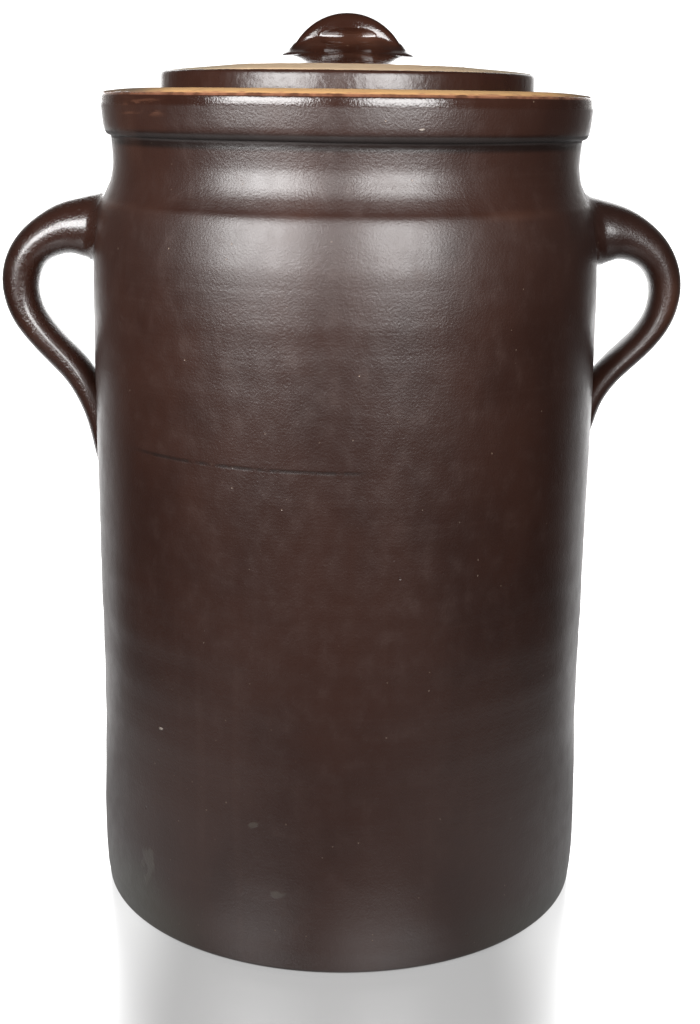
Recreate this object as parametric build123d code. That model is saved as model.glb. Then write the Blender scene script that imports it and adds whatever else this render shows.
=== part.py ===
from build123d import *
import os

# A rumtopf pot: a tall stoneware crock with two pulled ear handles, and a loose lid
# that carries a pinched half-moon knob. Fruit is layered in it under spirit and sugar.
# The crock's body is thrown in one. Its base, wall and neck are solids of their own,
# which meet face to face inside the clay, so that each is one plain ring or dish.
# Lengths are millimetres. The origin is the centre of the base and +Z is up.
# +X runs through the right handle, and the viewer stands at -Y.

# Crock, outside: its widest radius, its height, and how far inside that radius,
# or beyond it, each ring of the wall lies
crock_radius = 124.0
rim_height = 403.8
foot_inset = 0.6
foot_rounding = 1.8
heel_swell = 0.9
heel_height = 26.0
waist_inset = 0.7
shoulder_inset = 5.0
neck_inset = 11.1
undercut_inset = 9.3
collar_foot_inset = 6.6
collar_inset = 5.8
waist_share = 0.29
belly_share = 0.83

# Crock, outside: the bands that follow each other down from the rim
collar_depth = 22.0
collar_foot_rise = 3.2
neck_depth = 12.0
cove_depth = 18.3
undercut_lean = 0.45
shoulder_rounding = 6.0
collar_foot_rounding = 1.4
arris_rounding = 2.2

# Crock, inside
wall_thickness = 11.0
floor_thickness = 12.0
floor_rounding = 16.0
inner_shoulder_drop = 22.0
inner_shoulder_rounding = 30.0
inner_neck_drop = 6.0
inner_neck_rounding = 12.0

# Rim: a wide bare shelf, gently crowned, with a sunk seat for the lid
rim_width = 26.5
crown_setback = 4.0
crown_fall = 1.9
lip_fall = 0.2
seat_depth = 5.2
seat_width = 8.5
ledge_thickness = 10.0
mouth_rounding = 2.0

# Lid: a thick disc whose wide bare ring rises gently to a glazed mound round the knob.
# The ring's width and the mound's radius are shares of the lid's radius.
lid_gap = 2.0
lid_side_height = 13.2
lid_edge_rounding = 1.6
lid_band_share = 0.368
lid_band_rise = 3.0
lid_mound_share = 0.346
lid_mound_rise = 5.2
lid_peak_rise = 1.8
lid_rest_width = 10.0
lid_foot_rounding = 1.0
lid_hollow_depth = 6.5
lid_hollow_slope = 20.0
lid_hollow_rounding = 30.0

# Knob: a half-moon lug on a flared foot, with a finger scoop in each face
knob_radius = 28.4
knob_height = 19.7
knob_base_thickness = 21.0
knob_ridge_thickness = 12.5
knob_ridge_rounding = 5.5
knob_foot_length = 61.2
knob_foot_depth = 40.0
scoop_length = 39.6
scoop_height = 10.0
scoop_bite = 2.3
scoop_drop = 9.4

# Rings of the knob's foot: how high, how long and how deep each is, as shares of
# the knob's height and of the foot's length and depth
knob_foot_shares = [
    (-0.32, 1.20, 1.53),
    (-0.16, 1.10, 1.27),
    (0.01, 1.00, 1.00),
    (0.10, 0.928, 0.78),
    (0.19, 0.860, 0.60),
    (0.30, 0.790, 0.46),
    (0.43, 0.700, 0.36),
]

# Handles: each is one pulled strap, and the two differ a little, as hand work does
handle_width = 27.0
handle_root_drop = 15.0
strap_thickness_share = 0.39
left_reach = 47.7
left_drop = 124.6
right_reach = 43.8
right_drop = 104.5

# Where each strap runs, from its root in the shoulder to its tail on the wall.
# Each row is how far out and how far down the middle lies, as shares of reach and
# drop, and then its thickness and width, as shares of the strap's own. A strap's own
# thickness is a share of its reach.
left_strap_shares = [
    (-0.280, -0.016, 2.54, 1.62),
    (-0.140, -0.013, 2.18, 1.51),
    (0.000, -0.009, 1.85, 1.40),
    (0.140, -0.006, 1.59, 1.28),
    (0.280, -0.004, 1.42, 1.17),
    (0.420, 0.019, 1.26, 1.08),
    (0.560, 0.048, 1.15, 1.02),
    (0.680, 0.093, 1.10, 1.00),
    (0.750, 0.146, 1.08, 0.98),
    (0.785, 0.205, 1.05, 0.97),
    (0.778, 0.265, 1.00, 0.97),
    (0.738, 0.322, 0.95, 0.97),
    (0.662, 0.372, 0.90, 0.97),
    (0.560, 0.421, 0.88, 0.98),
    (0.440, 0.471, 0.87, 0.99),
    (0.320, 0.518, 0.87, 1.01),
    (0.203, 0.572, 0.84, 1.03),
    (0.105, 0.637, 0.80, 1.05),
    (0.024, 0.711, 0.76, 1.06),
    (-0.032, 0.789, 0.73, 1.05),
    (-0.066, 0.867, 0.69, 1.01),
    (-0.101, 0.940, 0.64, 0.93),
    (-0.138, 1.000, 0.60, 0.82),
]
right_strap_shares = [
    (-0.300, -0.022, 2.62, 1.62),
    (-0.150, -0.018, 2.29, 1.51),
    (0.000, -0.013, 1.98, 1.40),
    (0.150, -0.008, 1.71, 1.28),
    (0.300, -0.001, 1.48, 1.16),
    (0.440, 0.022, 1.30, 1.08),
    (0.573, 0.058, 1.18, 1.03),
    (0.682, 0.105, 1.08, 1.00),
    (0.760, 0.164, 1.01, 0.98),
    (0.802, 0.232, 0.95, 0.97),
    (0.799, 0.300, 0.91, 0.97),
    (0.764, 0.367, 0.87, 0.97),
    (0.698, 0.427, 0.83, 0.97),
    (0.600, 0.483, 0.81, 0.98),
    (0.480, 0.536, 0.80, 1.00),
    (0.352, 0.586, 0.79, 1.02),
    (0.230, 0.635, 0.78, 1.04),
    (0.120, 0.689, 0.76, 1.05),
    (0.026, 0.755, 0.74, 1.05),
    (-0.040, 0.832, 0.71, 1.01),
    (-0.086, 0.915, 0.66, 0.92),
    (-0.138, 1.000, 0.60, 0.80),
]

# Heights and radii that follow from the sizes above
undercut_height = rim_height - collar_depth
collar_foot_height = undercut_height + collar_foot_rise
neck_height = undercut_height - neck_depth
shoulder_height = neck_height - cove_depth
foot_radius = crock_radius - foot_inset
shoulder_radius = crock_radius - shoulder_inset
undercut_radius = crock_radius - undercut_inset
collar_foot_radius = crock_radius - collar_foot_inset
collar_radius = crock_radius - collar_inset
gallery_radius = collar_radius - rim_width
mouth_radius = gallery_radius - seat_width
lip_height = rim_height - lip_fall
arris_height = rim_height - crown_fall
seat_height = rim_height - seat_depth
lid_radius = gallery_radius - lid_gap
lid_band_width = lid_band_share * lid_radius
lid_mound_radius = lid_mound_share * lid_radius
lid_side_top = seat_height + lid_side_height
lid_band_height = lid_side_top + lid_band_rise
lid_mound_height = lid_band_height + lid_mound_rise
lid_peak_height = lid_mound_height + lid_peak_rise
lid_hollow_height = seat_height + lid_hollow_depth
knob_top_height = lid_mound_height + knob_height
knob_centre_height = knob_top_height - knob_radius
handle_root_height = shoulder_height - handle_root_drop
base_top_height = floor_thickness + floor_rounding
shoulder_foot_height = shoulder_height - inner_shoulder_drop


def turned(outline):
    """Turn a closed outline, drawn as radius and height, about the pot's axis."""
    return revolve(make_face(Plane.YZ * outline), axis=Axis.Z)


def eased(outline, corner, radius):
    """Round the corner of an outline that lies nearest to a point."""
    nearest = outline.vertices().sort_by_distance(Vector(*corner))[0]
    return fillet(nearest, radius)


def outer_wall():
    """The crock's outside, from the middle of its base up to the inner lip of its rim."""
    foot = (foot_radius, 0)
    shoulder = (shoulder_radius, shoulder_height)
    undercut = (undercut_radius, undercut_height)
    collar_foot = (collar_foot_radius, collar_foot_height)
    arris = (collar_radius, arris_height)
    wall = Spline(
        foot,
        (crock_radius + heel_swell, heel_height),
        (crock_radius - waist_inset, waist_share * shoulder_height),
        (crock_radius, belly_share * shoulder_height),
        shoulder,
        tangents=[(heel_swell + foot_inset, heel_height), (-shoulder_inset, cove_depth)],
    )
    neck = Spline(
        shoulder,
        (crock_radius - neck_inset, neck_height),
        undercut,
        tangents=[(shoulder_inset - neck_inset, neck_depth), (undercut_lean, 1)],
    )
    crown = ThreePointArc(arris, (gallery_radius + crown_setback, rim_height), (gallery_radius, lip_height))
    outline = Line((0, 0), foot) + wall + neck + Polyline(undercut, collar_foot, arris) + crown
    outline = eased(outline, foot, foot_rounding)
    outline = eased(outline, shoulder, shoulder_rounding)
    outline = eased(outline, collar_foot, collar_foot_rounding)
    return eased(outline, arris, arris_rounding)


def inner_wall():
    """The crock's inside, from the lip over the lid's seat down to the floor's middle."""
    inner_radius = crock_radius - wall_thickness
    mouth = (mouth_radius, seat_height)
    under_ledge = (mouth_radius, seat_height - ledge_thickness)
    inner_neck = (inner_radius - neck_inset, undercut_height - inner_neck_drop)
    inner_shoulder = (inner_radius, shoulder_height - inner_shoulder_drop)
    corner = (inner_radius, floor_thickness)
    outline = Polyline(
        (gallery_radius, lip_height),
        (gallery_radius, seat_height),
        mouth,
        under_ledge,
        inner_neck,
        inner_shoulder,
        corner,
        (0, floor_thickness),
    )
    outline = eased(outline, mouth, mouth_rounding)
    outline = eased(outline, under_ledge, mouth_rounding)
    outline = eased(outline, inner_neck, inner_neck_rounding)
    outline = eased(outline, inner_shoulder, inner_shoulder_rounding)
    return eased(outline, corner, floor_rounding)


def crock_body():
    """The thrown body: foot, wall, shoulder, neck, collar and the shelf of its rim."""
    return turned(outer_wall() + inner_wall() + Line((0, floor_thickness), (0, 0)))


def crock_base():
    """The body's foot: its floor and the rounding up into the wall."""
    return split(crock_body(), Plane.XY.offset(base_top_height), keep=Keep.BOTTOM)


def body_between(low, high):
    """The ring of the thrown body between two heights."""
    above_low = split(crock_body(), Plane.XY.offset(low), keep=Keep.TOP)
    return split(above_low, Plane.XY.offset(high), keep=Keep.BOTTOM)


def crock_wall():
    """The body's straight wall, from the floor's rounding up to the inner shoulder."""
    return body_between(base_top_height, shoulder_foot_height)


def crock_shoulder():
    """The body's shoulder and the lower half of the cove above it."""
    return body_between(shoulder_foot_height, neck_height)


def crock_rim():
    """The body's top: the upper half of the cove, the collar, the rim and the lid's seat."""
    return split(crock_body(), Plane.XY.offset(neck_height), keep=Keep.TOP)


def crock_block():
    """The body's outside as one filled solid, which the handles are cut to."""
    return turned(outer_wall() + Polyline((gallery_radius, lip_height), (0, lip_height), (0, 0)))


def strap(side, reach, drop, shares):
    """One pulled strap, lofted through ovals square to its run and cut to the wall."""
    thickness = strap_thickness_share * reach
    middles = [
        Vector(side * (crock_radius + out * reach), 0, handle_root_height - down * drop)
        for out, down, thick, wide in shares
    ]
    ovals = []
    for i, (out, down, thick, wide) in enumerate(shares):
        before = middles[max(i - 1, 0)]
        after = middles[min(i + 1, len(middles) - 1)]
        across = Plane(origin=middles[i], x_dir=(0, 1, 0), z_dir=after - before)
        ovals.append(across * Ellipse(wide * handle_width / 2, thick * thickness / 2))
    return loft(ovals) - crock_block()


def lid_top():
    """The lid's outline, from the foot of its side over its top to the axis."""
    edge = (lid_radius, lid_side_top)
    ring = (lid_radius - lid_band_width, lid_band_height)
    mound = Spline(
        ring,
        (lid_mound_radius, lid_mound_height),
        (0, lid_peak_height),
        tangents=[(-lid_band_width, lid_band_rise), (-1, 0)],
    )
    outline = Polyline((lid_radius, seat_height), edge, ring) + mound
    return eased(outline, edge, lid_edge_rounding)


def lid_plate():
    """The lid's disc, bare where it rests on its seat and shallowly hollowed underneath."""
    foot = (lid_radius, seat_height)
    rest = (lid_radius - lid_rest_width, seat_height)
    hollow = (lid_radius - lid_rest_width - lid_hollow_slope, lid_hollow_height)
    underside = Polyline((0, lid_peak_height), (0, lid_hollow_height), hollow, rest, foot)
    outline = eased(underside + lid_top(), foot, lid_foot_rounding)
    outline = eased(outline, hollow, lid_hollow_rounding)
    return turned(outline)


def lid_block():
    """The lid's disc filled down to its seat, which the knob is cut to."""
    below = Polyline((0, lid_peak_height), (0, seat_height), (lid_radius, seat_height))
    return turned(below + lid_top())


def knob_lug():
    """The half-moon: half a disc on edge, thick at its foot and rounded along its ridge."""
    half_base = knob_base_thickness / 2
    half_ridge = knob_ridge_thickness / 2
    face = make_face(
        Polyline(
            (0, -half_base),
            (-knob_radius, -half_ridge),
            (-knob_radius, half_ridge),
            (0, half_base),
            close=True,
        )
    )
    ridge = face.vertices().group_by(Axis.X)[0]
    disc = revolve(fillet(ridge, knob_ridge_rounding), axis=Axis.Y, revolution_arc=180)
    return Pos(0, 0, knob_centre_height) * disc


def knob_foot():
    """The flared oval foot, drawn in steeply and then more slowly up to the lug."""
    ovals = []
    for rise, long, deep in knob_foot_shares:
        oval = Ellipse(long * knob_foot_length / 2, deep * knob_foot_depth / 2)
        ovals.append(Pos(0, 0, lid_mound_height + rise * knob_height) * oval)
    return loft(ovals)


def finger_scoop(side):
    """The hollow that a finger has pressed into one face of the lug."""
    height = knob_top_height - scoop_drop
    lean = (knob_base_thickness - knob_ridge_thickness) / 2 / knob_radius
    face = knob_base_thickness / 2 - lean * (height - knob_centre_height)
    half = split(Ellipse(scoop_length / 2, scoop_height / 2), Plane.XZ)
    hollow = revolve(half, axis=Axis.X)
    return Pos(0, side * (face + scoop_height / 2 - scoop_bite), height) * hollow


def lid_knob():
    """The half-moon lug that the lid is lifted by, on its flared foot."""
    return knob_lug() + knob_foot() - finger_scoop(-1) - finger_scoop(1) - lid_block()


os.makedirs("parts", exist_ok=True)
left_handle = strap(-1, left_reach, left_drop, left_strap_shares)
right_handle = strap(1, right_reach, right_drop, right_strap_shares)
export_step(crock_base(), "parts/crock_base.step")
export_step(crock_wall(), "parts/crock_wall.step")
export_step(crock_shoulder(), "parts/crock_shoulder.step")
export_step(crock_rim(), "parts/crock_rim.step")
export_step(left_handle, "parts/left_handle.step")
export_step(right_handle, "parts/right_handle.step")
export_step(lid_plate(), "parts/lid_plate.step")
export_step(lid_knob(), "parts/lid_knob.step")
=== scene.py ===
from math import atan2, pi, radians, sin
import bpy
import bmesh
from mathutils import Euler, Matrix, Vector


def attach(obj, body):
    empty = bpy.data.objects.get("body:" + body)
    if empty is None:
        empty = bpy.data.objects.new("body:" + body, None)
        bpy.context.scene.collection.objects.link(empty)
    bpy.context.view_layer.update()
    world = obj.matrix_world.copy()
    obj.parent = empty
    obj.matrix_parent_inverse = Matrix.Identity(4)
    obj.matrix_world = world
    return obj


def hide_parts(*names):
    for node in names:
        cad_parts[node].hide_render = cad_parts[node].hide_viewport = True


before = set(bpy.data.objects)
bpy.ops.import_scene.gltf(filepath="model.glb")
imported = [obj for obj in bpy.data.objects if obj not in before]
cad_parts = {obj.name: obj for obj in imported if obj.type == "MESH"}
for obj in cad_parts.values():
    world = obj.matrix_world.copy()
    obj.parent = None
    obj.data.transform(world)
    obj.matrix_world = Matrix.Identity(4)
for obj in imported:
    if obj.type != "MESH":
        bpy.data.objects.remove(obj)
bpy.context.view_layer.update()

# The studio: a white paper sweep on a table, a pale wall that shows only in the gloss,
# the camera at the height of the crock's rim, and two wide lamps in front of the crock,
# left and right, that make the paired soft lights on its neck and shoulder.


class Tone:
    """One output of a material's nodes, so that a finish can be written as sums."""

    def __init__(self, tree, socket=None):
        self.tree = tree
        self.socket = socket

    def node(self, kind, settings=(), inputs=(), out=0):
        """Add a node, set it, feed its sockets and return one of its outputs."""
        made = self.tree.nodes.new(kind)
        for name, value in dict(settings).items():
            setattr(made, name, value)
        for name, value in dict(inputs).items():
            if isinstance(value, Tone):
                self.tree.links.new(value.socket, made.inputs[name])
            else:
                made.inputs[name].default_value = value
        return Tone(self.tree, made.outputs[out])

    def math(self, operation, *values):
        """A Math node on these values."""
        return self.node("ShaderNodeMath", {"operation": operation}, enumerate(values))

    def parts(self):
        """The x, y and z of this place or direction."""
        split = self.node("ShaderNodeSeparateXYZ", (), {0: self})
        return [Tone(self.tree, output) for output in split.socket.node.outputs]

    def __add__(self, other):
        return self.math("ADD", self, other)

    def __sub__(self, other):
        return self.math("SUBTRACT", self, other)

    def __rsub__(self, other):
        return self.math("SUBTRACT", other, self)

    def __mul__(self, other):
        return self.math("MULTIPLY", self, other)

    def __truediv__(self, other):
        return self.math("DIVIDE", self, other)

    __radd__ = __add__
    __rmul__ = __mul__

    def rises(self, low, high):
        """0 below low and 1 above high, eased between the two."""
        settings = {"interpolation_type": "SMOOTHSTEP", "clamp": True}
        return self.node("ShaderNodeMapRange", settings, {0: self, 1: low, 2: high, 3: 0.0, 4: 1.0})

    def band(self, middle, half, soft):
        """1 within half of middle, falling to 0 over soft."""
        return 1 - self.math("ABSOLUTE", self - middle).rises(half, half + soft)

    def blend(self, other, share):
        """This colour turned towards another by a share."""
        settings = {"data_type": "RGBA", "clamp_factor": True}
        return self.node("ShaderNodeMix", settings, {0: share, 6: self, 7: other}, out=2)

    def colour(self, red, green, blue):
        """A colour from its red, green and blue."""
        return self.node("ShaderNodeCombineColor", (), {0: red, 1: green, 2: blue})


def new_material(name):
    """An empty material, its first Tone and its output node."""
    material = bpy.data.materials.new(name)
    material.use_nodes = True
    material.node_tree.nodes.clear()
    output = material.node_tree.nodes.new("ShaderNodeOutputMaterial")
    return material, Tone(material.node_tree), output


def start_from(primitive, name, **how):
    """Add a primitive with nothing else selected, name it and open it for modelling."""
    if bpy.context.mode != "OBJECT":
        bpy.ops.object.mode_set(mode="OBJECT")
    bpy.ops.object.select_all(action="DESELECT")
    primitive(**how)
    piece = bpy.context.object
    piece.name = name
    bpy.ops.object.mode_set(mode="EDIT")
    return piece


def close_up(piece, smooth=40):
    """Leave edit mode, settle the piece's place into its mesh and smooth its shading."""
    bpy.ops.object.mode_set(mode="OBJECT")
    bpy.ops.object.transform_apply(location=True, rotation=True, scale=True)
    bpy.ops.object.shade_smooth_by_angle(angle=radians(smooth))


# The camera's place and its two turns, in degrees, come from the ellipses of the rim and
# the foot. Its focal length is in pixels of a picture that is 1024 pixels high.
camera_place = (0.0037, -0.795, 0.3985)
looks_down = 14.47
leans = 0.67
focal_pixels = 1590
picture_high = 1024
sensor = 36
camera = bpy.data.objects.new("camera", bpy.data.cameras.new("camera"))
bpy.context.scene.collection.objects.link(camera)
camera.matrix_world = (
    Matrix.Translation(camera_place)
    @ Matrix.Rotation(radians(90 - looks_down), 4, "X")
    @ Matrix.Rotation(radians(leans), 4, "Z")
)
camera.data.sensor_width = sensor
camera.data.lens = focal_pixels / picture_high * sensor
camera.data.clip_end = 50
bpy.context.scene.camera = camera
bpy.context.scene.view_settings.view_transform = "Standard"

# The air is white to the camera. To the pot it is dim, apart from the pale wall behind,
# which only a glossy surface mirrors.
world = bpy.data.worlds.new("studio_air")
world.use_nodes = True
world.node_tree.nodes.clear()
air = Tone(world.node_tree)
to_camera = air.node("ShaderNodeLightPath", out="Is Camera Ray")
to_gloss = air.node("ShaderNodeLightPath", out="Is Glossy Ray")
backwards = air.node("ShaderNodeTexCoord", out="Generated").parts()[1]
strength = 0.05 + backwards.rises(0.70, 0.98) * to_gloss * 0.85
dim = air.node("ShaderNodeBackground", (), {"Color": (1, 0.97, 0.94, 1), "Strength": strength})
white = air.node("ShaderNodeBackground", (), {"Color": (1, 1, 1, 1), "Strength": 1.0})
mixed = air.node("ShaderNodeMixShader", (), {0: to_camera, 1: dim, 2: white})
world_output = world.node_tree.nodes.new("ShaderNodeOutputWorld")
world.node_tree.links.new(mixed.socket, world_output.inputs["Surface"])
bpy.context.scene.world = world

# The paper lies a hair under the foot, and bends up behind the crock in four folds.
paper_wide = 2.4
paper_deep = 2.7
paper_middle = 1.0
paper_level = -0.0002
paper_folds = [(0.25, 0.07), (0.18, 0.18), (0.07, 0.25), (0, 1.6)]
sweep = start_from(
    bpy.ops.mesh.primitive_plane_add, "sweep", size=1, location=(0, paper_middle, paper_level)
)
bpy.ops.transform.resize(value=(paper_wide, paper_deep, 1), center_override=(0, paper_middle, 0))
bpy.ops.mesh.select_all(action="DESELECT")
sheet = bmesh.from_edit_mesh(sweep.data)
for edge in sheet.edges:
    edge.select = min(corner.co.y for corner in edge.verts) > 0
bmesh.update_edit_mesh(sweep.data)
for back, up in paper_folds:
    bpy.ops.mesh.extrude_region_move(TRANSFORM_OT_translate={"value": (0, back, up)})
bpy.ops.mesh.select_all(action="SELECT")
close_up(sweep, smooth=60)

paper, wash, output = new_material("white_paper")
place = wash.node("ShaderNodeTexCoord", out="Object")
across, behind = place.parts()[:2]
aside = wash.math("ABSOLUTE", across)
away = wash.node("ShaderNodeVectorMath", {"operation": "LENGTH"}, {0: place}, out="Value")
seen = wash.node("ShaderNodeLightPath", out="Is Camera Ray")
mirrored = wash.node("ShaderNodeLightPath", out="Is Glossy Ray")
matt = wash.node("ShaderNodeBsdfDiffuse", (), {"Color": (0.10, 0.10, 0.10, 1)})
shiny = 0.07 + seen * 0.25
sheen = wash.colour(shiny, shiny, shiny)
gloss = wash.node("ShaderNodeBsdfAnisotropic", (), {"Color": sheen, "Roughness": 0.27})
surface = wash.node("ShaderNodeAddShader", (), {0: matt, 1: gloss})
# The paper glows to glossy rays only, as painted reflections in the pot's gloss: at its far end and its
# sides, a little from before the foot and round it, and in two pools that paint two highlights low on the
# wall.
far_end = (behind - aside * 1.2).rises(0.0, 0.45)
slant = (aside - 0.11) / wash.math("MAXIMUM", behind + 0.05, 0.01)
sides = behind.rises(0.06, 0.25) * (1 - slant.rises(0.75, 1.40))
near = (1 - away.rises(0.30, 0.46)) * (0.09 + aside.rises(0.05, 0.20) * 0.30)
# Painted reflections: two pools of glow on the paper put two highlights low on the crock's wall.
pools = across.band(-0.066, 0.010, 0.035) + across.band(0.032, 0.016, 0.038)
pools = pools * behind.band(-0.158, 0.015, 0.040)
foot_light = 1 - away.rises(0.145, 0.210)
painted_glow_to_gloss = far_end * 2.4 + sides * 0.9 + near + foot_light * 0.14 + pools * 0.6
# The camera sees it grey close to the crock and white further out: a painted shadow round the foot, kept
# within the crock's width.
glow_round_painted_shadow = 0.34 + away.rises(0.17, 0.40) * 0.75 + aside.rises(0.070, 0.115) * 0.42
lit = seen * glow_round_painted_shadow + mirrored * painted_glow_to_gloss
glow = wash.node("ShaderNodeEmission", (), {"Color": (1, 1, 1, 1), "Strength": lit})
bright = wash.node("ShaderNodeAddShader", (), {0: surface, 1: glow})
paper.node_tree.links.new(bright.socket, output.inputs["Surface"])
sweep.data.materials.append(paper)


def lamp(name, azimuth, elevation, wide, high, distance, strength):
    """A flat soft lamp, aimed at the crock's neck from in front, its angles in degrees."""
    aim = Vector((0, 0, 0.38))
    turn = Euler((radians(90 - elevation), 0, radians(azimuth)))
    light = bpy.data.lights.new(name, "AREA")
    light.shape = "RECTANGLE"
    light.size = 2 * distance * sin(radians(wide / 2))
    light.size_y = 2 * distance * sin(radians(high / 2))
    light.energy = strength * pi * light.size * light.size_y
    holder = bpy.data.objects.new(name, light)
    back = turn.to_matrix() @ Vector((0, 0, 1))
    holder.matrix_world = Matrix.Translation(aim + back * distance) @ turn.to_matrix().to_4x4()
    bpy.context.scene.collection.objects.link(holder)


lamp("left_lamp", azimuth=-34.5, elevation=11, wide=38, high=26, distance=0.62, strength=17.0)
lamp("right_lamp", azimuth=21.5, elevation=11, wide=30, high=26, distance=0.62, strength=16.0)

# The crock: one thrown piece of stoneware clay, drawn up on the wheel with its collar
# and rim, glazed brown inside and out, and wiped bare on the rim and under the foot.

mm = 0.001
hair = 0.02 * mm


def drawn(points, step):
    """A smooth line through points, in millimetres, cut into steps of about that length."""
    line = [Vector(points[0])]
    for i in range(len(points) - 1):
        start, end = Vector(points[i]), Vector(points[i + 1])
        before = Vector(points[i - 1]) if i else 2 * start - end
        after = Vector(points[i + 2]) if i + 2 < len(points) else 2 * end - start
        count = max(1, round((end - start).length / step))
        for k in range(1, count + 1):
            t = k / count
            line.append(
                0.5 * (2 * start + (end - before) * t
                + (2 * before - 5 * start + 4 * end - after) * t ** 2
                + (3 * start - before - 3 * end + after) * t ** 3)
            )
    return line


def thrown(name, runs, steps):
    """Pull a single point through a profile, then spin the profile round the wheel's axis."""
    piece = start_from(bpy.ops.mesh.primitive_plane_add, name, size=mm)
    bpy.ops.mesh.merge(type="CENTER")
    line = [point for points, step in runs for point in drawn(points, step)]
    bpy.ops.transform.translate(value=(line[0].x * mm, 0, line[0].y * mm))
    here = line[0]
    for point in line[1:]:
        move = (point - here) * mm
        if move.length > hair:
            bpy.ops.mesh.extrude_region_move(TRANSFORM_OT_translate={"value": (move.x, 0, move.y)})
            here = point
    bpy.ops.mesh.select_all(action="SELECT")
    bpy.ops.mesh.spin(steps=steps, angle=2 * pi, center=(0, 0, 0), axis=(0, 0, 1))
    bpy.ops.mesh.select_all(action="SELECT")
    bpy.ops.mesh.remove_doubles(threshold=hair)
    bpy.ops.mesh.normals_make_consistent(inside=False)
    close_up(piece)
    return piece


def relief(piece, stretch, depth, group):
    """Press a gentle unevenness into a group of a piece, stretched along the three axes."""
    holder = bpy.data.objects.new("relief", None)
    holder.scale = stretch
    bpy.context.scene.collection.objects.link(holder)
    bpy.context.view_layer.update()
    pattern = bpy.data.textures.new("relief", "CLOUDS")
    pattern.noise_scale = 1
    pattern.noise_depth = 1
    press = piece.modifiers.new("relief", "DISPLACE")
    press.texture = pattern
    press.texture_coords = "OBJECT"
    press.texture_coords_object = holder
    press.strength = depth
    press.mid_level = 0.5
    press.vertex_group = group
    bpy.context.view_layer.objects.active = piece
    bpy.ops.object.modifier_apply(modifier=press.name)
    bpy.data.objects.remove(holder)
    bpy.data.textures.remove(pattern)


# Each run of a profile holds its points, radius and height in millimetres, and the
# step between the rings of the mesh.
crock_runs = [
    # under the foot, and round its edge
    ([(0, 0), (60, 0), (121.2, 0)], 12),
    ([(121.4, 0), (122.7, 0.35), (123.4, 1.4), (123.7, 3.2)], 0.6),
    # up the wall, over the edge of the shoulder, and in to the neck
    ([(123.7, 3.2), (124.5, 12), (124.95, 26), (124.6, 52), (123.7, 80), (123.3, 104), (123.5, 135),
      (123.8, 180), (124, 235), (124, 290), (123.85, 312), (123.2, 326), (122.1, 338), (120.9, 345.5),
      (119.7, 350)], 2.7),
    ([(119.7, 350), (119.0, 351.4), (117.9, 353.1)], 0.7),
    ([(117.9, 353.1), (115.6, 357.6), (114.1, 362), (113.1, 367), (112.9, 370.5), (113.1, 375),
      (113.4, 379), (113.5, 381.3)], 1.6),
    # out under the collar, up its face, and round the lip
    ([(113.5, 381.3), (113.8, 381.9), (114.7, 382.1), (115.6, 382.6), (116.4, 383.8), (117.1, 386.2),
      (117.55, 389.2), (117.9, 393), (118.15, 397.2)], 0.7),
    ([(118.15, 397.2), (118.05, 399.1), (117.6, 400.7), (116.7, 401.8), (115.4, 402.3)], 0.4),
    # over the crowned rim, down into the seat, and across it
    ([(115.4, 402.3), (108, 403.2), (100, 403.7), (95.5, 403.8), (93, 403.7)], 1.6),
    ([(93, 403.7), (92.1, 403.3), (91.75, 402.4)], 0.4),
    ([(91.75, 402.4), (91.7, 399.4)], 1.5),
    ([(91.7, 399.4), (91.5, 398.8), (90.9, 398.6)], 0.4),
    ([(90.9, 398.6), (85.2, 398.6)], 2),
    # down through the mouth, and out under the rim
    ([(85.2, 398.6), (83.8, 398.05), (83.2, 396.6)], 0.7),
    ([(83.2, 396.6), (83.2, 390.4)], 2),
    ([(83.2, 390.4), (83.5, 388.9), (84.6, 387.8)], 0.7),
    ([(84.6, 387.8), (98.5, 378.6)], 3),
    ([(98.5, 378.6), (101.4, 375.2), (102.8, 371.4), (103.9, 367)], 2),
    # down inside the wall, and in over the floor
    ([(103.9, 367), (111.5, 336.2), (112.7, 330), (113, 323), (113, 180), (113, 36)], 6),
    ([(113, 36), (111.6, 26), (106.6, 18.4), (99, 13.6), (90, 12)], 2.5),
    ([(90, 12), (45, 12), (0, 12)], 9),
]
crock = thrown("crock", crock_runs, 160)

# The thrower's hand left the outside a little uneven, in flat rings and in broad swells.
uneven_bottom = 6 * mm
uneven_top = 400.5 * mm
uneven_radius = 113.5 * mm
outside = crock.vertex_groups.new(name="outside")
for v in crock.data.vertices:
    if uneven_bottom < v.co.z < uneven_top and v.co.xy.length > uneven_radius:
        outside.add([v.index], 1.0, "REPLACE")
relief(crock, stretch=(0.5, 0.5, 0.016), depth=0.0005, group="outside")
relief(crock, stretch=(0.09, 0.09, 0.12), depth=0.0006, group="outside")
crock.vertex_groups.clear()


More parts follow.
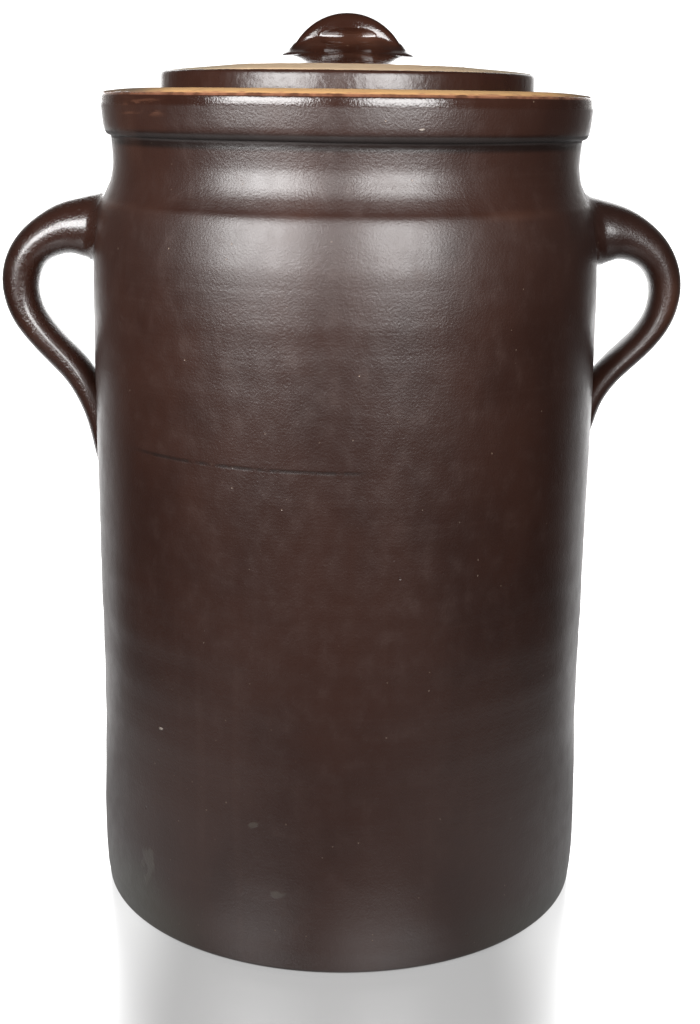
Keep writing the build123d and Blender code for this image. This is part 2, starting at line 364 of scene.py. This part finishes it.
class Glaze:
    """The pot's brown glaze on one piece, open to that piece's own marks until it is fired."""

    def __init__(self, name, rough, grain):
        self.material, self.wash, self.output = new_material(name)
        self.place = self.wash.node("ShaderNodeTexCoord", out="Object")
        self.x, self.y, self.z = self.place.parts()
        self.radius = self.wash.math("SQRT", self.x * self.x + self.y * self.y)
        self.front = 1 - self.y.rises(-0.03, -0.02)
        self.cloud = self.noise(14, (1, 1, 0.7))
        self.fine = self.noise(120, (1, 1, 0.8), 5.0)
        rings = self.noise(1, (5, 5, 420), 2.0)
        wide_rings = self.noise(1, (3, 3, 95), 2.0)
        peel = self.noise(1000, (1, 1, 1), 2.0)
        hammered = self.noise(230, (1, 1, 1), 1.0)
        self.dark = self.wash.colour(0.0165, 0.0050, 0.0028)
        self.pale = self.wash.colour(0.046, 0.023, 0.017)
        brown = self.wash.colour(0.0265, 0.0094, 0.0058)
        self.colour = self.dark.blend(brown, self.cloud.rises(0.30, 0.62))
        self.mark(self.fine.rises(0.52, 0.85) * 0.30, self.pale)
        self.mark(rings.rises(0.55, 0.80) * 0.12, self.pale)
        speck = self.cells(420)
        rare = self.cells(420, "Color").rises(0.88, 0.92)
        self.mark((1 - speck.rises(0.10, 0.22)) * rare * 0.5, self.wash.colour(0.20, 0.14, 0.10))
        pitted = (1 - self.cells(75).rises(0.035, 0.075)) * self.cells(75, "Color").rises(0.80, 0.84)
        self.roughness = rough + self.fine.rises(0.3, 0.8) * 0.08
        self.coat = 0.2
        self.coat_roughness = rough
        self.height = (
            (rings - 0.5) * 0.05 + (wide_rings - 0.5) * 0.09 + (peel - 0.5) * grain * 0.9
            + (hammered - 0.5) * grain * 0.5 + (self.fine - 0.5) * 0.05
            - (1 - speck.rises(0.08, 0.20)) * rare * 0.10 - pitted * 0.25
        )

    def noise(self, scale, stretch, detail=3.0):
        """Soft cloudy noise, stretched along the three axes."""
        at = self.wash.node("ShaderNodeMapping", (), {"Vector": self.place, "Scale": stretch})
        return self.wash.node(
            "ShaderNodeTexNoise", (), {"Vector": at, "Scale": scale, "Detail": detail, "Roughness": 0.55}
        )

    def cells(self, scale, out="Distance"):
        """Scattered points: the distance to the nearest, or its own random shade."""
        return self.wash.node("ShaderNodeTexVoronoi", (), {"Vector": self.place, "Scale": scale}, out=out)

    def spot(self, across, up, wide, high):
        """A ragged oval on the side that faces the front."""
        over = (self.x + (self.fine - 0.5) * wide * 4.0 - across) / wide
        above = (self.z + (self.fine - 0.5) * high * 3.0 - up) / high
        return (1 - (over * over + above * above).rises(0.2, 1.2)) * self.front

    def mark(self, where, tint):
        """Turn the colour towards a tint where a mask says so."""
        self.colour = self.colour.blend(tint, where)

    def thin(self, where):
        """Let the iron break red where the glaze ran thin."""
        self.mark(where, self.wash.colour(0.30, 0.130, 0.075))

    def wipe(self, where, clay):
        """Show bare clay, dry, gritty and a little lower than the glaze round it."""
        self.mark(where, clay)
        grit = (self.noise(1500, (1, 1, 1), 2.0) - 0.5) * 0.22
        self.roughness = self.roughness * (1 - where) + where * 0.86
        self.height = self.height * (1 - where) + (grit - 0.12) * where
        self.coat = (1 - where) * self.coat

    def fired(self):
        """Close the finish and return its material."""
        settings = {"Height": self.height, "Distance": mm, "Strength": 0.8}
        bump = self.wash.node("ShaderNodeBump", (), settings)
        skin = self.wash.node("ShaderNodeBsdfPrincipled", (), {
            "Base Color": self.colour, "Roughness": self.roughness, "IOR": 1.5, "Specular IOR Level": 0.6,
            "Coat Weight": self.coat, "Coat Roughness": self.coat_roughness, "Coat IOR": 1.5, "Normal": bump,
        })
        self.material.node_tree.links.new(skin.socket, self.output.inputs["Surface"])
        return self.material


glaze = Glaze("crock_glaze", rough=0.35, grain=0.16)
glaze.coat_roughness = 0.27
x, z, radius, fine, cloud = glaze.x, glaze.z, glaze.radius, glaze.fine, glaze.cloud

# Darker and streaked low on the wall, with painted shade nearly black in the corner that is tucked under the
# collar, and a pale painted reflection of the floor at the two sides of the foot.
streaks = glaze.noise(1, (150, 150, 5), 2.0)
glaze.mark((1 - z.rises(0.16, 0.30)) * 0.35, glaze.dark)
glaze.mark(streaks.rises(0.55, 0.80) * (1 - z.rises(0.10, 0.30)) * 0.12, glaze.pale)
# Painted shade: the corner under the collar is darkened nearly to black in the colour.
painted_shade_under_collar = z.band(0.3815, 0.0022, 0.0025)
glaze.mark(painted_shade_under_collar * 0.85, glaze.wash.colour(0.004, 0.0015, 0.0010))
glaze.coat = 0.2 - painted_shade_under_collar * 0.2
# Painted reflection: a pale grey tint stands for the floor's light at the two sides of the foot.
corners = glaze.wash.math("ABSOLUTE", x).rises(0.050, 0.105)
painted_floor_reflection = (1 - (z + (cloud - 0.5) * 0.05).rises(0.004, 0.036)) * corners
glaze.mark(painted_floor_reflection * 0.7, glaze.wash.colour(0.048, 0.047, 0.036))

# Thin and red along the lip and the shoulder's edge, in faint patches on the neck, and
# in one scuffed place on the collar.
lip = z.band(0.4012, 0.0003, 0.0007) * radius.rises(0.112, 0.113) * (0.35 + fine.rises(0.35, 0.60) * 0.65)
arris = z.band(0.3512, 0.0004, 0.0030) * cloud.rises(0.48, 0.62) * 0.03
patches = cloud.rises(0.62, 0.74) * z.rises(0.30, 0.36) * 0.05
smears = glaze.noise(1, (50, 50, 420), 2.0).rises(0.50, 0.66)
scuffed = x.band(-0.0895, 0.006, 0.007) * z.band(0.3955, 0.0020, 0.003) * smears * glaze.front
glaze.thin(lip * 0.55 + arris + patches + scuffed * 0.14)

# A few dull spots near the foot, two nicks, and the line that a tool scraped round the front at half height,
# darkened with painted shade.
dull = glaze.spot(-0.0934, 0.036, 0.0034, 0.0100) + glaze.spot(-0.027, 0.041, 0.0032, 0.0022)
dull = dull + glaze.spot(-0.040, 0.073, 0.0020, 0.0016)
glaze.mark(dull * 0.32, glaze.wash.colour(0.075, 0.068, 0.055))
nick = glaze.spot(0.032, 0.3875, 0.0012, 0.0006) + glaze.spot(-0.085, 0.109, 0.0010, 0.0008)
glaze.mark(nick * 0.5, glaze.wash.colour(0.42, 0.36, 0.31))
groove_height = 0.24255 + (cloud - 0.5) * 0.0012
groove_with_painted_shade = z.band(groove_height, 0.0002, 0.0011) * (x.rises(-0.100, -0.085) - x.rises(0.0, 0.018))
groove_with_painted_shade = groove_with_painted_shade * fine.rises(0.30, 0.55) * glaze.front
# Painted shade: the groove is darkened in the colour as well as sunk.
glaze.mark(groove_with_painted_shade * 0.75, glaze.wash.colour(0.0070, 0.0030, 0.0020))

# Drier in the corner under the collar and on the shoulder, glossier round the lip, and
# uneven where the marks are.
glaze.roughness = glaze.roughness + z.band(0.3826, 0.0010, 0.0012) * 0.3 - z.rises(0.3955, 0.3975) * 0.20
glaze.roughness = glaze.roughness + (z.rises(0.300, 0.335) - z.rises(0.3505, 0.3525)) * 0.06
glaze.height = glaze.height + dull * 0.12 + nick * 0.5 - groove_with_painted_shade * 0.10

# Bare clay on the rim, in the seat and under the foot: orange, toasted on its outer edge, and darker umber
# towards the two ends that show.
rim = (z + (fine - 0.5) * 0.0016).rises(0.4013, 0.4018) * radius.rises(0.0915, 0.0919)
seat = z.rises(0.3983, 0.3985) * radius.rises(0.0826, 0.0830) * (1 - radius.rises(0.0915, 0.0919))
underside = 1 - (z + (fine - 0.5) * 0.0016).rises(0.0002, 0.0007)
orange = glaze.wash.colour(0.70, 0.40, 0.155)
toasted = glaze.wash.colour(0.30, 0.135, 0.060)
ragged = x + (cloud - 0.5) * 0.02
# Darker umber towards the rim's two ends that show.
darker_ends = 1 - ragged.rises(-0.094, -0.074) + ragged.rises(0.086, 0.112)
lip_edge = radius.rises(0.1145, 0.1172)
umber = glaze.wash.colour(0.105, 0.070, 0.043)
grey = glaze.wash.colour(0.25, 0.21, 0.16)
toasting = fine.rises(0.45, 0.75) * 0.35 + lip_edge * (0.55 + fine.rises(0.40, 0.65) * 0.45)
clay = orange.blend(toasted, toasting).blend(umber, darker_ends * 0.9).blend(grey, 1 - z.rises(0.001, 0.002))
bare = glaze.wash.math("MAXIMUM", rim, glaze.wash.math("MAXIMUM", seat, underside))
glaze.wipe(bare, clay)
crock.data.materials.append(glaze.fired())
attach(crock, "crock")
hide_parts("crock_base", "crock_wall", "crock_shoulder", "crock_rim")

# The ear handles: each is one strap pulled from a lump of the same clay, its thick end
# luted on under the collar and its thin tail pressed and smeared down the wall. They
# were glazed with the crock, and the left one came out a little larger.

wall_radius = 124
root_height = 336.5
strap_width = 27
strap_thickness = 0.39


def pulled(name, side, reach, drop, shares):
    """Pull a strap up from its tail to its root, and return it with the root's place and size."""
    stations = [
        Vector((
            side * (wall_radius + out * reach), root_height - down * drop,
            thick * strap_thickness * reach, wide * strap_width,
        ))
        for out, down, thick, wide in reversed(shares)
    ]
    line = drawn(stations, 5.5)
    way = line[1] - line[0]
    heading = atan2(way[0], way[1])
    piece = start_from(
        bpy.ops.mesh.primitive_circle_add, name, vertices=28, radius=line[0][2] / 2 * mm, fill_type="NGON",
        location=(line[0][0] * mm, 0, line[0][1] * mm), rotation=(0, heading, 0),
    )
    bpy.ops.mesh.select_all(action="SELECT")
    wide = line[0][3] / line[0][2]
    bpy.ops.transform.resize(value=(1, wide, 1))
    for i in range(1, len(line)):
        here, last = line[i], line[i - 1]
        ahead = line[min(i + 1, len(line) - 1)] - last
        turn = (atan2(ahead[0], ahead[1]) - heading + pi) % (2 * pi) - pi
        heading += turn
        middle = (here[0] * mm, 0, here[1] * mm)
        move = ((here[0] - last[0]) * mm, 0, (here[1] - last[1]) * mm)
        grow = here[2] / last[2]
        bpy.ops.mesh.extrude_region_move(TRANSFORM_OT_translate={"value": move})
        bpy.ops.transform.rotate(value=-turn, orient_axis="Y", orient_type="GLOBAL", center_override=middle)
        bpy.ops.transform.resize(value=(grow, grow, grow), center_override=middle)
        bpy.ops.transform.resize(value=(1, here[3] / here[2] / wide, 1), center_override=middle)
        wide = here[3] / here[2]
    return piece, line[-1]


# The rings of the fillet: each one's gap to the wall, and how far it spreads.
fillet = [
    (6.0, 0.15), (5.1, 0.45), (4.2, 0.9), (3.3, 1.6), (2.4, 2.5), (1.6, 3.7), (0.9, 5.2), (0.4, 7.2),
    (0.06, 9.8), (-0.5, 12.6), (-2.5, 13.6),
]
fillet_flatness = 1.3
rubbed_within = 136 * mm
rubbed_above = 300 * mm
uneven_from = 129 * mm
uneven_fully = 143 * mm


def luted(piece, side, last):
    """Smear the open end of a strap out over the crock's wall in a soft fillet."""
    thick, broad = last[2], last[3]
    middle = (last[0] * mm, 0, last[1] * mm)
    gaps = []
    for gap, spread in fillet:
        bpy.ops.mesh.extrude_region_move(TRANSFORM_OT_translate={"value": (-side * mm, 0, 0)})
        next_broad = last[3] + 2 * spread
        next_thick = last[2] + fillet_flatness * spread
        bpy.ops.transform.resize(value=(1, next_broad / broad, next_thick / thick), center_override=middle)
        broad, thick = next_broad, next_thick
        group = piece.vertex_groups.new(name="ring")
        piece.vertex_groups.active_index = group.index
        bpy.ops.object.vertex_group_assign()
        gaps.append((group.name, gap))
    bpy.ops.object.mode_set(mode="OBJECT")
    for name, gap in gaps:
        wrap = piece.modifiers.new("wrap", "SHRINKWRAP")
        wrap.target = crock
        wrap.wrap_method = "PROJECT"
        wrap.use_project_x = True
        wrap.use_project_y = wrap.use_project_z = False
        wrap.use_negative_direction = wrap.use_positive_direction = True
        wrap.offset = gap * mm
        wrap.vertex_group = name
        bpy.ops.object.modifier_apply(modifier=wrap.name)
    piece.vertex_groups.clear()
    round_off = piece.modifiers.new("round_off", "SUBSURF")
    round_off.levels = round_off.render_levels = 2
    bpy.ops.object.modifier_apply(modifier=round_off.name)
    root = piece.vertex_groups.new(name="root")
    for v in piece.data.vertices:
        if abs(v.co.x) < rubbed_within and v.co.z > rubbed_above:
            root.add([v.index], 1.0, "REPLACE")
    rub = piece.modifiers.new("rub", "SMOOTH")
    rub.factor = 0.5
    rub.iterations = 16
    rub.vertex_group = "root"
    bpy.ops.object.modifier_apply(modifier=rub.name)
    free = piece.vertex_groups.new(name="free")
    for v in piece.data.vertices:
        share = (abs(v.co.x) - uneven_from) / (uneven_fully - uneven_from)
        free.add([v.index], min(1, max(0, share)), "REPLACE")
    relief(piece, stretch=(0.02, 0.02, 0.05), depth=0.0006, group="free")
    piece.vertex_groups.clear()
    close_up(piece)


# Each station of a strap, from its root down to its tail: how far out it stands, as a
# share of the reach, how far down, as a share of the drop, and its thickness and width,
# as shares of the strap's own.
left_shares = [
    (0.140, -0.006, 1.59, 1.28), (0.280, -0.004, 1.42, 1.17), (0.420, 0.019, 1.26, 1.08),
    (0.560, 0.048, 1.15, 1.02), (0.680, 0.093, 1.10, 1.00), (0.750, 0.146, 1.08, 0.98),
    (0.785, 0.205, 1.05, 0.97), (0.778, 0.265, 1.00, 0.97), (0.738, 0.322, 0.95, 0.97),
    (0.662, 0.372, 0.90, 0.97), (0.560, 0.421, 0.88, 0.98), (0.440, 0.471, 0.87, 0.99),
    (0.320, 0.518, 0.87, 1.01), (0.203, 0.572, 0.84, 1.03), (0.105, 0.637, 0.80, 1.05),
    (0.024, 0.711, 0.76, 1.06), (-0.032, 0.789, 0.73, 1.05), (-0.066, 0.867, 0.69, 1.01),
    (-0.101, 0.940, 0.64, 0.93), (-0.138, 1.000, 0.60, 0.82),
]
right_shares = [
    (0.150, -0.008, 1.71, 1.28), (0.300, -0.001, 1.48, 1.16), (0.440, 0.022, 1.30, 1.08),
    (0.573, 0.058, 1.18, 1.03), (0.682, 0.105, 1.08, 1.00), (0.760, 0.164, 1.01, 0.98),
    (0.802, 0.232, 0.95, 0.97), (0.799, 0.300, 0.91, 0.97), (0.764, 0.367, 0.87, 0.97),
    (0.698, 0.427, 0.83, 0.97), (0.600, 0.483, 0.81, 0.98), (0.480, 0.536, 0.80, 1.00),
    (0.352, 0.586, 0.79, 1.02), (0.230, 0.635, 0.78, 1.04), (0.120, 0.689, 0.76, 1.05),
    (0.026, 0.755, 0.74, 1.05), (-0.040, 0.832, 0.71, 1.01), (-0.086, 0.915, 0.66, 0.92),
    (-0.138, 1.000, 0.60, 0.80),
]

# The right handle is the smaller, and its glaze came out drier.
for name, side, reach, drop, shares, rough, coat, grain in (
    ("ear_left", -1, 47.7, 124.6, left_shares, 0.24, 0.8, 0.45),
    ("ear_right", 1, 43.8, 104.5, right_shares, 0.37, 0.2, 0.25),
):
    handle, last = pulled(name, side, reach, drop, shares)
    luted(handle, side, last)
    glaze = Glaze(name + "_glaze", rough, grain)
    glaze.coat = coat
    glaze.coat_roughness = 0.18
    glaze.thin(glaze.radius.rises(0.150, 0.172) * glaze.cloud.rises(0.40, 0.65) * 0.16)
    handle.data.materials.append(glaze.fired())
    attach(handle, "crock")
    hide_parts("left_handle" if side < 0 else "right_handle")

# The lid: a thick thrown disc that sits loose in the seat of the rim. Its side and the
# mound in its middle are glazed, and the wide ring between them, and the ring that
# rests on the seat, are wiped bare so that it can be fired on its own.

lid_runs = [
    # the hollow underneath, and the ring that rests on the seat
    ([(0, 405.1), (30, 405.1), (57, 405.1)], 8),
    ([(57, 405.1), (60.5, 404.9), (64, 403.9)], 1.5),
    ([(64, 403.9), (78.6, 399.0)], 4),
    ([(78.6, 399.0), (79.4, 398.75), (80.3, 398.62)], 0.6),
    ([(80.3, 398.62), (88.4, 398.62)], 2.5),
    ([(88.4, 398.62), (89.25, 398.9), (89.6, 399.6)], 0.5),
    # up the side, and in over the bare ring
    ([(89.6, 399.6), (89.65, 404), (89.55, 409.6)], 1.3),
    ([(89.55, 409.6), (89.2, 410.9), (88.3, 411.75), (87, 412.1)], 0.5),
    ([(87, 412.1), (80, 412.9), (72, 413.6), (64, 414.25), (57, 414.85)], 1.8),
    # up the mound
    ([(57, 414.85), (50, 416.15), (43, 417.45), (36, 418.75), (30, 419.8), (24, 420.6), (14, 421.4),
      (0, 421.8)], 2),
]
lid = thrown("lid", lid_runs, 144)
lid_top = lid.vertex_groups.new(name="outside")
lid_top.add([v.index for v in lid.data.vertices if v.co.z > 0.4], 1.0, "REPLACE")
relief(lid, stretch=(0.06, 0.06, 0.06), depth=0.0005, group="outside")
lid.vertex_groups.clear()

glaze = Glaze("lid_glaze", rough=0.07, grain=0.03)
z, radius, fine = glaze.z, glaze.radius, glaze.fine
lid_side = radius.rises(0.0870, 0.0885)
glaze.roughness = glaze.roughness + lid_side * 0.20
glaze.coat = 0.2 - lid_side * 0.2
glaze.coat_roughness = 0.10
glaze.height = glaze.height + lid_side * (glaze.noise(330, (1, 1, 0.8), 2.0) - 0.5) * 0.22
drips = glaze.noise(1, (160, 160, 16))
glaze_line = (z + (drips - 0.5) * 0.0005).rises(0.4116, 0.4119)
ring = (radius + (fine - 0.5) * 0.003).rises(0.0562, 0.0567) * glaze_line
rest = (1 - z.rises(0.3989, 0.3991)) * radius.rises(0.0780, 0.0785)
glaze.thin(radius.band(0.0560, 0.0004, 0.0015) * 0.4)
buff = glaze.wash.colour(0.70, 0.50, 0.31)
browned = glaze.wash.colour(0.56, 0.36, 0.22)
end_grey = glaze.wash.colour(0.36, 0.34, 0.25)
# The bare ring turns greyer towards its two ends that show.
ends = glaze.wash.math("ABSOLUTE", glaze.x).rises(0.035, 0.080)
clay = buff.blend(browned, fine.rises(0.45, 0.75) * 0.6).blend(end_grey, ends * 0.6)
glaze.wipe(glaze.wash.math("MAXIMUM", ring, rest), clay)
lid.data.materials.append(glaze.fired())
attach(lid, "lid")
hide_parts("lid_plate")

# The knob: a lump of clay luted on the lid and pinched into a half-moon, with a hollow
# pressed into each face by a finger, and its foot drawn out over the mound and glazed.

lug_radius = 29.1 * mm
lug_thickness = 11.2 * mm
lug_level = 410.5 * mm
cheek_inset = 28.0 * mm
cheek_depth = 4.9 * mm
ridge_width = 2.8 * mm
cut_level = 417.5 * mm
knob = start_from(
    bpy.ops.mesh.primitive_cylinder_add, "knob", vertices=120, radius=lug_radius, depth=lug_thickness,
    location=(0, 0, lug_level), rotation=(radians(90), 0, 0),
)
bpy.ops.mesh.select_all(action="DESELECT")
bpy.ops.mesh.select_mode(type="FACE")
lump = bmesh.from_edit_mesh(knob.data)
for face in lump.faces:
    face.select = len(face.verts) > 4
bmesh.update_edit_mesh(knob.data)
bpy.ops.mesh.inset(thickness=cheek_inset, depth=cheek_depth)
bpy.ops.mesh.select_all(action="SELECT")
bpy.ops.object.mode_set(mode="OBJECT")
ridge = knob.modifiers.new("ridge", "BEVEL")
ridge.width = ridge_width
ridge.segments = 4
ridge.limit_method = "ANGLE"
ridge.angle_limit = radians(60)
bpy.ops.object.modifier_apply(modifier=ridge.name)
bpy.ops.object.mode_set(mode="EDIT")
bpy.ops.mesh.select_all(action="SELECT")
bpy.ops.mesh.bisect(plane_co=(0, 0, cut_level), plane_no=(0, 0, 1), clear_inner=True, use_fill=True)
bpy.ops.object.mode_set(mode="OBJECT")
bpy.ops.object.transform_apply(location=True, rotation=True, scale=True)

# The flared foot, ring by ring: half its width, half its depth, and its height.
foot_rings = [
    (34.6, 25.5, 417.2), (31.6, 20.4, 420.6), (29.2, 15.6, 422.3), (27.2, 12.0, 424.1), (25.0, 9.3, 426.4),
    (22.0, 7.0, 429.0),
]
wide, deep, level = foot_rings[0]
knob_foot = start_from(
    bpy.ops.mesh.primitive_circle_add, "knob_foot", vertices=64, radius=mm, fill_type="NGON",
    location=(0, 0, level * mm),
)
bpy.ops.transform.resize(value=(wide, deep, 1), center_override=(0, 0, level * mm))
for next_wide, next_deep, next_level in foot_rings[1:]:
    bpy.ops.mesh.extrude_region_move(TRANSFORM_OT_translate={"value": (0, 0, (next_level - level) * mm)})
    growth = (next_wide / wide, next_deep / deep, 1)
    bpy.ops.transform.resize(value=growth, center_override=(0, 0, next_level * mm))
    wide, deep, level = next_wide, next_deep, next_level
close_up(knob_foot)
bpy.ops.object.select_all(action="DESELECT")
knob_foot.select_set(True)
knob.select_set(True)
bpy.context.view_layer.objects.active = knob
bpy.ops.object.join()


def kneaded(piece, grain, rounds):
    """Knead a piece's parts into one skin of clay and rub its creases down."""
    bpy.context.view_layer.objects.active = piece
    knead = piece.modifiers.new("knead", "REMESH")
    knead.mode = "VOXEL"
    knead.voxel_size = grain * mm
    bpy.ops.object.modifier_apply(modifier=knead.name)
    rub = piece.modifiers.new("rub", "SMOOTH")
    rub.factor = 0.5
    rub.iterations = rounds
    bpy.ops.object.modifier_apply(modifier=rub.name)


kneaded(knob, grain=0.5, rounds=3)
finger_size = (17.8, 5.2, 4.7)
finger_out = 10.1 * mm
finger_level = 428.9 * mm
for side in (-1, 1):
    tip = (0, side * finger_out, finger_level)
    finger = start_from(
        bpy.ops.mesh.primitive_uv_sphere_add, "finger", segments=48, ring_count=24, radius=mm, location=tip
    )
    bpy.ops.transform.resize(value=finger_size, center_override=tip)
    close_up(finger)
    press = knob.modifiers.new("press", "BOOLEAN")
    press.operation = "DIFFERENCE"
    press.solver = "EXACT"
    press.object = finger
    bpy.context.view_layer.objects.active = knob
    bpy.ops.object.modifier_apply(modifier=press.name)
    bpy.data.objects.remove(finger)
kneaded(knob, grain=0.45, rounds=5)
bpy.ops.object.select_all(action="DESELECT")
knob.select_set(True)
close_up(knob, smooth=60)

glaze = Glaze("knob_glaze", rough=0.09, grain=0.05)
glaze.thin(glaze.z.band(0.4270, 0.0015, 0.004) * glaze.cloud.rises(0.45, 0.65) * 0.16)
knob.data.materials.append(glaze.fired())
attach(knob, "lid")
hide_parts("lid_knob")
